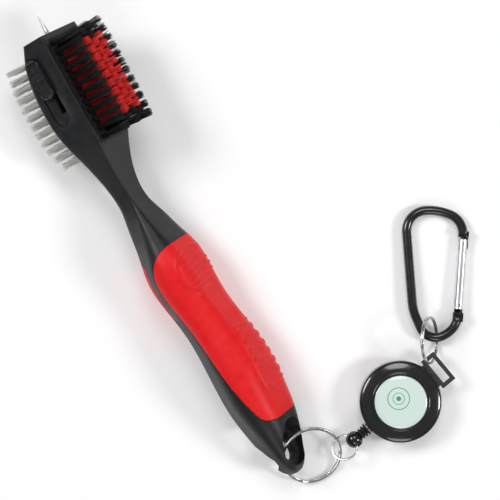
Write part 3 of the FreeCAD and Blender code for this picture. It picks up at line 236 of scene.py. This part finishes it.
finishes = {
    "frameBlack": finishOf("frameBlack", (0.010, 0.0105, 0.0115), (0.0145, 0.015, 0.016),
                           rough=(0.36, 0.47), grain=260, bump=0.00003, bumpScale=2600,
                           specular=0.36),
    "blockBlack": finishOf("blockBlack", (0.012, 0.0125, 0.014), (0.02, 0.02, 0.021),
                           rough=(0.45, 0.6), grain=500, specular=0.3),
    "sliderBlack": finishOf("sliderBlack", (0.01, 0.0105, 0.012), (0.016, 0.016, 0.018),
                            rough=(0.3, 0.42), grain=600),
    "gripRed": finishOf("gripRed", (0.78, 0.008, 0.011), (0.84, 0.012, 0.015),
                        rough=(0.40, 0.52), grain=300, bump=0.00003, bumpScale=3200,
                        specular=0.28),
    "nylonRed": finishOf("nylonRed", (0.74, 0.012, 0.010), (0.90, 0.03, 0.022),
                         rough=(0.32, 0.45), grain=1500, bump=0),
    "nylonBlack": finishOf("nylonBlack", (0.005, 0.005, 0.0055), (0.011, 0.011, 0.012),
                           rough=(0.35, 0.5), grain=1500, bump=0, specular=0.35),
    "wireSteel": finishOf("wireSteel", (0.82, 0.83, 0.78), (0.96, 0.96, 0.92),
                          rough=(0.35, 0.5), grain=1800, bump=0, metallic=0.55),
    "spikeSteel": finishOf("spikeSteel", (0.68, 0.66, 0.60), (0.80, 0.78, 0.72),
                           rough=(0.2, 0.34), grain=1200, metallic=1.0,
                           stretch=(1, 0.1, 1), bump=0.00002),
    "nickel": finishOf("nickel", (0.60, 0.60, 0.58), (0.72, 0.72, 0.70),
                       rough=(0.16, 0.26), grain=700, metallic=1.0, bump=0),
    "reelGloss": finishOf("reelGloss", (0.006, 0.006, 0.0065), (0.009, 0.009, 0.01),
                          rough=(0.12, 0.2), grain=300, coat=0.6, coatRough=0.04,
                          bump=0.000012, bumpScale=900),
    "ballGloss": finishOf("ballGloss", (0.006, 0.006, 0.0065), (0.009, 0.009, 0.01),
                          rough=(0.1, 0.16), grain=500, coat=0.5, bump=0),
    "loopGrey": finishOf("loopGrey", (0.022, 0.023, 0.025), (0.034, 0.035, 0.038),
                         rough=(0.45, 0.6), grain=900, bump=0.00004),
    "clipBlack": finishOf("clipBlack", (0.006, 0.006, 0.007), (0.01, 0.01, 0.011),
                          rough=(0.16, 0.26), grain=400, coat=0.5, coatRough=0.06,
                          bump=0.00001),
    "gateBright": finishOf("gateBright", (0.74, 0.75, 0.77), (0.80, 0.81, 0.83),
                           rough=(0.30, 0.38), grain=250, metallic=1.0, bump=0),
    "cordBlack": finishOf("cordBlack", (0.02, 0.02, 0.02), (0.035, 0.035, 0.035),
                          rough=(0.7, 0.85), grain=2200, sheen=0.3, bump=0.0001),
    "spoolGrey": finishOf("spoolGrey", (0.42, 0.42, 0.42), (0.5, 0.5, 0.5),
                          rough=(0.4, 0.5), grain=600),
}
print("finishes ready:", len(finishes))


def addPiece(name, vertices, faces, material, body, slot, replaces, sharp):
    mesh = bpy.data.meshes.new(name)
    mesh.from_pydata(vertices.tolist(), [], faces)
    mesh.materials.append(material)
    piece = bpy.data.objects.new(name, mesh)
    bpy.context.scene.collection.objects.link(piece)
    settle(piece, body, replaces, sharp)
    return piece


def settle(piece, body, replaces, sharp):
    mesh = piece.data
    mesh.update()
    mesh.polygons.foreach_set("use_smooth", np.ones(len(mesh.polygons), bool))
    if sharp:
        mesh.set_sharp_from_angle(angle=math.radians(sharp))
    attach(piece, body)
    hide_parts(*replaces)


def gridFaces(rows, columns, closeRows=False, closeColumns=False):
    # quads between neighbours on a grid of rows by columns, whole arrays at once
    r = np.arange(rows if closeRows else rows - 1)
    c = np.arange(columns if closeColumns else columns - 1)
    a, b = np.meshgrid(r, c, indexing="ij")
    a2, b2 = (a + 1) % rows, (b + 1) % columns
    return np.stack([a * columns + b, a * columns + b2, a2 * columns + b2,
                     a2 * columns + b], axis=-1).reshape(-1, 4)


def outwards(vertices, faces):  # turns the faces round if the volume they hold is negative
    corners = vertices[faces[:, :3]]
    volume = np.einsum("ij,ij->i", corners[:, 0], np.cross(corners[:, 1], corners[:, 2])).sum()
    return faces if volume > 0 else faces[:, ::-1]


def cadCopy(node, material, sharp, bevel=0.0, name=None):
    # the node's own shape with its loose triangles joined, so that it can be smooth
    mesh = nodes[node].data.copy()
    work = bmesh.new()
    work.from_mesh(mesh)
    bmesh.ops.remove_doubles(work, verts=work.verts, dist=1e-6)
    bmesh.ops.dissolve_degenerate(work, edges=work.edges, dist=1e-7)
    work.to_mesh(mesh)
    work.free()
    mesh.materials.clear()
    mesh.materials.append(material)
    mesh.name = name or node + "_finished"
    piece = bpy.data.objects.new(name or node + "_finished", mesh)
    bpy.context.scene.collection.objects.link(piece)
    if bevel:
        rounded = piece.modifiers.new("rounded", "BEVEL")
        rounded.width = bevel * mm
        rounded.segments = 2
        rounded.limit_method = "ANGLE"
        rounded.angle_limit = math.radians(sharp)
        rounded.harden_normals = True
    settle(piece, nodes[node]["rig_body"], (node,), sharp)
    return piece


def dress(node, material):  # a CAD node that stays gets its finish in its own slot
    nodes[node].data.materials.clear()
    nodes[node].data.materials.append(material)


def turnedPiece(name, profile, steps, place, material, body, **rest):
    # profile: radius and height pairs carried round the Z axis through a full turn
    profile = np.array(profile, float)
    angle = np.linspace(0, 2 * np.pi, steps, endpoint=False)[:, None]
    points = np.stack([profile[:, 0] * np.cos(angle), profile[:, 0] * np.sin(angle),
                       np.broadcast_to(profile[:, 1], (steps, len(profile)))], axis=-1)
    points = place(points.reshape(-1, 3))
    faces = outwards(points, gridFaces(steps, len(profile), True, True))
    return addPiece(name, points, faces.tolist(), material, body, **rest)


brushSet = {"edge": 0.22, "sliderEdge": 0.18}  # mm, how far the moulded edges are rounded
for node, look, edge in (
        ("handle_frame", "frameBlack", 28), ("nylon_block", "blockBlack", 30),
        ("steel_block", "blockBlack", 30)):
    cadCopy(node, finishes[look], edge, brushSet["edge"])
cadCopy("slider_button", finishes["sliderBlack"], 30, brushSet["sliderEdge"])
cadCopy("spike_carrier", finishes["sliderBlack"], 30)
cadCopy("groove_spike", finishes["spikeSteel"], 50)
print("frame, blocks and slider ready")
cadCopy("grip_bottom", finishes["gripRed"], 50)

gripSet = {
    "cell": 0.3,                                       # mm, size of the finished mesh's faces
    "thumb": (16.6, 88.4), "thumbHalf": (7.4, 9.4),    # mm, middle and half sizes of the thumb rest
    "thumbRib": 2.45, "thumbRise": 0.4,                # mm, pitch and height of its ribs
    "rimWidth": 0.5, "rimRise": 0.5,                   # mm, the bead round the thumb rest
    "panelY": (35.2, 62.4), "panelFrom": 18.4,         # mm, the barred panel along and across
    "barPitch": 3.9, "barRise": 0.5, "frameRise": 0.45,
}


def softStep(value, low, high):  # 0 below low, 1 above high, smooth between them
    t = np.clip((value - low) / (high - low), 0, 1)
    return t * t * (3 - 2 * t)


def gripRelief(local):
    # height of the moulded pattern over the grip, from w, the place across the brush as seen
    # from above, and y along it: a bead on an ellipse and ribs inside it that bow with w,
    # then a barred panel whose height is a square wave in y with softened edges
    roll = math.radians(layout["brushRoll"])
    w = (local[:, 0] + 9) * math.cos(roll) - local[:, 2] * math.sin(roll)
    y = local[:, 1]
    (midW, midY), (halfW, halfY) = gripSet["thumb"], gripSet["thumbHalf"]
    away = np.hypot((w - midW) / halfW, (y - midY) / halfY)
    bead = np.exp(-((away - 1) * halfW / gripSet["rimWidth"]) ** 2)
    bead *= softStep(midW - w + 0.5 * (y - midY), -3.5, 2.0)
    bowed = y - midY + 0.03 * (w - midW - 2) ** 2
    ribs = softStep(np.cos(bowed * 2 * np.pi / gripSet["thumbRib"]), -0.1, 0.75)
    ribs *= 1 - softStep(away, 0.72, 0.88)
    low, high = gripSet["panelY"]
    inside = softStep(y, low, low + 0.6) * (1 - softStep(y, high - 0.6, high))
    bars = softStep(np.cos((y - low) * 2 * np.pi / gripSet["barPitch"]), -0.35, 0.25)
    bars *= inside * softStep(w, gripSet["panelFrom"] + 0.7, gripSet["panelFrom"] + 1.2)
    edge = np.exp(-((w - gripSet["panelFrom"]) / 0.4) ** 2) * inside
    return (gripSet["rimRise"] * bead + gripSet["thumbRise"] * ribs
            + gripSet["barRise"] * bars + gripSet["frameRise"] * edge)


def reliefGrip():
    # a mesh of even cells takes the place of the loose triangles, then each point moves out
    # along its own normal by the pattern's height
    smooth = cadCopy("grip_top", finishes["gripRed"], 0, name="grip_top_pad")
    cells = smooth.modifiers.new("cells", "REMESH")
    cells.mode = "VOXEL"
    cells.voxel_size = gripSet["cell"] * mm
    graph = bpy.context.evaluated_depsgraph_get()
    fine = bpy.data.meshes.new_from_object(smooth.evaluated_get(graph))
    smooth.modifiers.clear()
    places, out = np.zeros((2, len(fine.vertices) * 3))
    fine.vertices.foreach_get("co", places)
    fine.vertices.foreach_get("normal", out)
    places, out = places.reshape(-1, 3), out.reshape(-1, 3)
    facing = softStep(out @ (brushAxes @ [0.55, 0, -0.2]), 0.0, 0.25)  # not on the hidden face
    rise = gripRelief(toBrush(places)) * facing * mm
    fine.vertices.foreach_set("co", (places + out * rise[:, None]).ravel())
    fine.materials.clear()
    fine.materials.append(finishes["gripRed"])
    fine.polygons.foreach_set("use_smooth", np.ones(len(fine.polygons), bool))
    fine.update()
    smooth.data = fine
    print("grip relief ready:", len(fine.polygons), "faces")


reliefGrip()

nylonSet = {
    "middle": 169.9, "pitch": 3.62, "rowPitch": 4.0,   # mm, where the tufts stand
    "root": 8.0, "tip": 22.7,                          # mm above the brush's own plane
    "strands": 56, "thick": 0.115,                     # strands in a tuft, their radius in mm
    "holeRadius": 0.95, "flare": 1.5, "stray": 0.22,  # mm, a tuft's radius at root and tip
    "fan": (0.008, 0.05),                              # lean outwards along and across
    "dip": (0.5, 0.5), "crimp": 0.0,                   # mm shorter at the front and rear ends
}
wireSet = {
    "middle": 167.55, "pitch": 3.7, "rowPitch": 3.6,
    "root": -6.6, "tip": -19.9,
    "strands": 60, "thick": 0.1, "holeRadius": 0.8, "flare": 1.5, "stray": 0.16,
    "fan": (0.01, 0.035), "dip": (2.4, 4.2),
    "crimp": 0.13,                                     # mm that each wire waves from side to side
}


def tuftStrands(spots, shape, steps):
    # a strand starts inside its hole and ends inside a wider disc: place = root + t * (lean),
    # bowed by t squared, waved by a sine along it, with a three-sided section
    sides = 3
    spots = np.repeat(np.array(spots, float), shape["strands"], axis=0)
    total = len(spots)
    turn = rng.uniform(0, 2 * np.pi, total)
    reach = np.sqrt(rng.uniform(0, 1, total))
    direction = np.stack([np.cos(turn), np.sin(turn)], axis=-1)
    rootSpot = spots + direction * (reach * shape["holeRadius"])[:, None]
    stray = rng.normal(0, shape["stray"], (total, 2))
    lean = direction * (reach * shape["flare"])[:, None] + stray
    offset = spots - [shape["middle"], 0]
    lean += offset * shape["fan"]
    rise = shape["tip"] - shape["root"]
    end = offset[:, :1] / (shape["pitch"] * 5.5)         # -1 at the rear column, 1 at the front
    shorter = np.abs(end) ** 3 * np.where(end > 0, *shape["dip"]) / abs(rise)
    t = np.linspace(0, 1, steps)[None, :]
    cut = 1 - np.abs(rng.normal(0, 0.018, total))[:, None] - shorter
    bowed = (0.55 * t + 0.45 * t ** 2)[..., None]
    across = rootSpot[:, None, :] + (lean - direction * (reach * shape["holeRadius"])[:, None]
                                     )[:, None, :] * bowed
    if shape["crimp"]:
        phase = rng.uniform(0, 2 * np.pi, (total, 1))
        wave = np.sin(phase + t * np.abs(rise) * 2.2) * shape["crimp"]
        side = rng.uniform(0, 2 * np.pi, (total, 1))
        across = across + np.stack([np.cos(side), np.sin(side)], axis=-1) * wave[..., None]
    along = shape["root"] + rise * t * cut
    corner = np.arange(sides) * 2 * np.pi / sides
    ring = np.stack([np.cos(corner), np.sin(corner)], axis=-1) * shape["thick"]
    yz = across[:, :, None, :] + ring[None, None, :, :]
    x = np.broadcast_to(along[:, :, None, None], yz.shape[:3] + (1,))
    points = np.concatenate([x, yz], axis=-1).reshape(-1, 3)  # strand, step, corner, place
    first = np.arange(total) * steps * sides
    faces = (gridFaces(steps, sides, False, True)[None] + first[:, None, None]).reshape(-1, 4)
    if rise > 0:
        faces = faces[:, ::-1]
    caps = first[:, None] + (steps - 1) * sides + np.arange(sides)
    return points, faces, caps if rise < 0 else caps[:, ::-1]


def addStrands(name, spots, shape, steps, material, slot, replaced):
    points, faces, caps = tuftStrands(spots, shape, steps)
    places = fromBrush(points)
    places[:, 2] = np.maximum(places[:, 2], 0.03 * mm)   # the lowest ones lie on the floor
    addPiece(name, places, faces.tolist() + caps.tolist(), material, "handle", slot,
             (replaced,), 0)


def nylonSpots():
    # five rows, every other one set half a pitch along; the border is black, the middle red
    black, red = [], []
    for row in range(-2, 3):
        columns = np.arange(-5.5, 6) if row % 2 == 0 else np.arange(-5.0, 6)
        for column in columns:
            spot = (nylonSet["middle"] + column * nylonSet["pitch"],
                    row * nylonSet["rowPitch"])
            (black if abs(row) == 2 or abs(column) > 4.1 else red).append(spot)
    return black, red


blackSpots, redSpots = nylonSpots()
wireSpots = [(wireSet["middle"] + column * wireSet["pitch"], row * wireSet["rowPitch"])
             for row in range(-2, 3) for column in np.arange(-5.5, 6)]
highSpots = [spot for spot in wireSpots if spot[1] > -5]
floorSpots = [spot for spot in wireSpots if spot[1] < -5]
for pieceName, spots, shape, steps, look, slot, node in (
        ("nylon_bristles_black", blackSpots, nylonSet, 4, "nylonBlack", "nylon_black",
         "nylon_tufts_black"),
        ("nylon_bristles_red", redSpots, nylonSet, 4, "nylonRed", "nylon_red",
         "nylon_tufts_red"),
        ("wire_bristles", highSpots, wireSet, 7, "wireSteel", "wire_steel", "steel_tufts"),
        ("wire_bristles_low", floorSpots, wireSet, 7, "wireSteel", "wire_steel",
         "steel_tufts_floor_row")):
    addStrands(pieceName, spots, shape, steps, finishes[look], slot, node)
for node in ("nylon_tuft_anchors", "steel_tuft_anchors"):
    dress(node, finishes["spikeSteel"])
print("bristles ready:", len(blackSpots), len(redSpots), len(wireSpots))

coilSet = {"steps": 361, "corners": 16, "square": 0.45,  # points along, around, and how square
           "endGap": 14, "climb": 0.45}                 # degrees left open, radians to change turn
ringSets = {  # mm: mean radius, strand's width and height, gap between strands; degrees to start
    "key_ring_large": {"radius": 11.55, "wide": 1.15, "high": 0.66, "gap": 0.05,
                       "body": "large_ring", "start": 60},
    "key_ring_small": {"radius": 4.85, "wide": 0.82, "high": 0.46, "gap": 0.03,
                       "body": "small_ring", "start": 200},
    "clip_ring": {"radius": 9.0, "wide": 0.86, "high": 0.62, "gap": 0.04,
                  "body": "clip", "start": 130},
}


def splitRing(node, shape):
    # two turns of flat wire: the section, a rounded rectangle, is carried round the axis
    # and steps from the lower turn to the upper one near the end of the first
    normal = planeNormal(node)
    side = np.cross(normal, [0, 1, 0])
    side = side / np.linalg.norm(side)
    across = np.cross(normal, side)
    centre = middleOf(node)
    steps, corners, power = coilSet["steps"], coilSet["corners"], coilSet["square"]
    angle = np.linspace(0, 4 * np.pi - math.radians(coilSet["endGap"]), steps)
    lift = (shape["high"] + shape["gap"]) / 2
    height = -lift + 2 * lift * softStep(angle, 2 * np.pi - coilSet["climb"], 2 * np.pi)
    corner = np.linspace(0, 2 * np.pi, corners, endpoint=False)
    out = np.sign(np.cos(corner)) * np.abs(np.cos(corner)) ** power * shape["wide"] / 2
    up = np.sign(np.sin(corner)) * np.abs(np.sin(corner)) ** power * shape["high"] / 2
    turn = angle + math.radians(shape["start"])
    radius = shape["radius"] + out[None, :]
    points = centre + mm * (
        (radius * np.cos(turn)[:, None])[..., None] * side
        + (radius * np.sin(turn)[:, None])[..., None] * across
        + (height[:, None] + up[None, :])[..., None] * normal)
    points = points.reshape(-1, 3)
    faces = outwards(points - centre, gridFaces(steps, corners, False, True))
    first = list(range(corners))
    last = list(range((steps - 1) * corners, steps * corners))
    flipped = faces[0][0] != 0  # the end caps turn with the sides, so they face outwards too
    ends = [first if flipped else first[::-1], last[::-1] if flipped else last]
    addPiece(node + "_coil", points, faces.tolist() + ends, finishes["nickel"],
             shape["body"], "nickel", (node,), 60)


for node, shape in ringSets.items():
    splitRing(node, shape)
print("split rings ready")

reelSet = {
    "faceSteps": 192, "labelSteps": 96,
    # mm, radius and height from the parting line over the rim, the bead and the label's seat
    "face": [(14.6, 4.6), (15.85, 4.6), (16.0, 4.75), (16.0, 8.35), (15.9, 8.75),
             (15.62, 9.1), (15.2, 9.36), (14.4, 9.6), (13.4, 9.85), (12.5, 10.04),
             (12.05, 10.1), (11.75, 10.08), (11.55, 10.14), (11.4, 10.4), (11.25, 10.55),
             (11.0, 10.6), (10.6, 10.6), (10.42, 10.54), (10.34, 10.4), (10.32, 10.1),
             (10.32, 8.9), (14.5, 8.9)],
    "label": [(0.0001, 9.9), (10.2, 9.9), (10.2, 10.3), (10.05, 10.42), (8.0, 10.5),
              (4.0, 10.56), (0.0001, 10.58)],
    "loopEdge": 0.2,                           # mm, rounding of the strap loop
}
turnedPiece("reel_face", reelSet["face"], reelSet["faceSteps"], fromReel,
            finishes["reelGloss"], "reel", slot="reel_black",
            replaces=("reel_front_shell",), sharp=35)
cadCopy("reel_back_shell", finishes["reelGloss"], 30)

labelSet = {
    "ringRadius": 4.3, "ringWidth": 0.28, "reach": 20,       # mm, the plain printed circle
    "shift": (0.2, 1.6),                       # mm, the circle's middle from the label's
    "ink": (0.05, 0.36, 0.15), "paper": (0.70, 0.84, 0.77),
}


def labelFinish():
    # distance from the print's middle gives a plain ring and a dot, and nothing else
    material, tree, shader = newMaterial("labelPrint")
    place = tree.nodes.new("ShaderNodeTexCoord")
    mapping = tree.nodes.new("ShaderNodeMapping")
    middle = fromReel(np.array([[*labelSet["shift"], 10.6]]))[0]
    mapping.vector_type = "TEXTURE"
    mapping.inputs["Location"].default_value = middle
    mapping.inputs["Rotation"].default_value = (0, 0, math.radians(layout["reelTurn"]))
    mapping.inputs["Scale"].default_value = (mm, mm, mm)
    tree.links.new(place.outputs["Object"], mapping.inputs["Vector"])
    length = tree.nodes.new("ShaderNodeVectorMath")
    length.operation = "LENGTH"
    flat = tree.nodes.new("ShaderNodeVectorMath")
    flat.operation = "MULTIPLY"
    flat.inputs[1].default_value = (1, 1, 0)
    tree.links.new(mapping.outputs["Vector"], flat.inputs[0])
    tree.links.new(flat.outputs["Vector"], length.inputs[0])
    ramp = tree.nodes.new("ShaderNodeValToRGB")
    ramp.color_ramp.interpolation = "CONSTANT"
    paper, ink = (*labelSet["paper"], 1), (*labelSet["ink"], 1)
    inner = labelSet["ringRadius"] - labelSet["ringWidth"]
    ramp.color_ramp.elements.remove(ramp.color_ramp.elements[1])
    ramp.color_ramp.elements[0].color = ink
    for spot, colour in ((0.9, paper), (2.1, ink), (2.3, paper), (inner, ink),
                         (labelSet["ringRadius"], paper)):
        ramp.color_ramp.elements.new(spot / labelSet["reach"]).color = colour
    scaled = tree.nodes.new("ShaderNodeMath")
    scaled.operation = "DIVIDE"
    scaled.inputs[1].default_value = labelSet["reach"]
    tree.links.new(length.outputs["Value"], scaled.inputs[0])
    tree.links.new(scaled.outputs["Value"], ramp.inputs["Fac"])
    tree.links.new(ramp.outputs["Color"], shader.inputs["Base Color"])
    shader.inputs["Roughness"].default_value = 0.22
    shader.inputs["Coat Weight"].default_value = 0.5
    return material


finishes["label"] = labelFinish()
turnedPiece("label_dome", reelSet["label"], reelSet["labelSteps"], fromReel,
            finishes["label"], "reel", slot="label_mint", replaces=("label_disc",), sharp=50)
cadCopy("strap_loop", finishes["loopGrey"], 30, reelSet["loopEdge"])
cadCopy("ball_end", finishes["ballGloss"], 40)
cadCopy("strain_relief", finishes["blockBlack"], 30)
cadCopy("cord_exit_bush", finishes["nickel"], 30)
for node, look in (("pull_cord", "cordBlack"), ("reel_cord_winding", "cordBlack"),
                   ("reel_spool", "spoolGrey"), ("reel_spring", "spikeSteel"),
                   ("gate_spring", "spikeSteel")):
    dress(node, finishes[look])
print("reel ready")

for node, look, slot, edge in (
        ("carabiner_body", "clipBlack", "carabiner_black", 30),
        ("carabiner_gate", "gateBright", "gate_aluminium", 30),
        ("gate_pin", "spikeSteel", "spike_steel", 40),
        ("gate_latch_pin", "spikeSteel", "spike_steel", 40)):
    cadCopy(node, finishes[look], edge)
print("carabiner ready")

floorSet = {"half": 3.0, "drop": 0.0002, "glow": 0.1}  # m, m under the object, faint own light
half, drop = floorSet["half"], -floorSet["drop"]
floorMesh = bpy.data.meshes.new("floor")
floorMesh.from_pydata([(-half, -half, drop), (half, -half, drop), (half, half, drop),
                       (-half, half, drop)], [], [(0, 1, 2, 3)])
floor = bpy.data.objects.new("floor", floorMesh)
bpy.context.scene.collection.objects.link(floor)
floorMesh.materials.append(finishOf("paleFloor", (0.93, 0.93, 0.93), (0.95, 0.95, 0.95),
                                    rough=(0.8, 0.9), grain=3, bump=0))
paleShader = floorMesh.materials[0].node_tree.nodes["Principled BSDF"]
paleShader.inputs["Emission Color"].default_value = (1, 1, 1, 1)
paleShader.inputs["Emission Strength"].default_value = floorSet["glow"]
